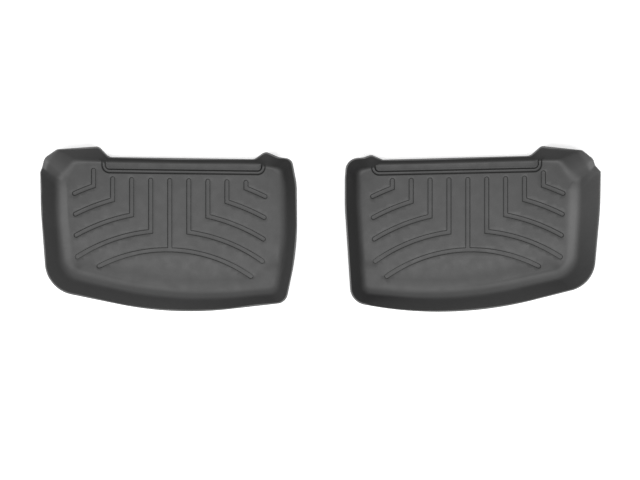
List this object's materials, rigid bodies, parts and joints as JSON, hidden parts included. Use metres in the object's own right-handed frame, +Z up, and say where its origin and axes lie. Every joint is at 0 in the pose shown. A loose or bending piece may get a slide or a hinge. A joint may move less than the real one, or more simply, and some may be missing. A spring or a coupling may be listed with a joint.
{
  "type": "floor mat set",
  "caption": "Pair of moulded rear footwell liners: deep trays with tall back corners, a low back lip behind a grooved ledge, and branched drain channels.",
  "frame": {"origin": "on the resting plane, midway between the two liners and midway from front to back", "axes": "+X to the right of the pair as seen from above with the low back lips at the top, +Y towards the seat side (the low lips), +Z up"},
  "size_m": [1.0128, 0.2991, 0.0605],
  "materials": {
    "elastomer_sheet": "satin black thermoplastic elastomer with a fine haircell grain"
  },
  "bodies": {
    "left": {"left_liner": "elastomer_sheet"},
    "right": {"right_liner": "elastomer_sheet"}
  },
  "joints": [
    {"name": "right_liner_lift", "type": "slide", "parent": "left", "child": "right", "axis": [0, 0, 1], "range_m": [0, 0.15]}
  ]
}
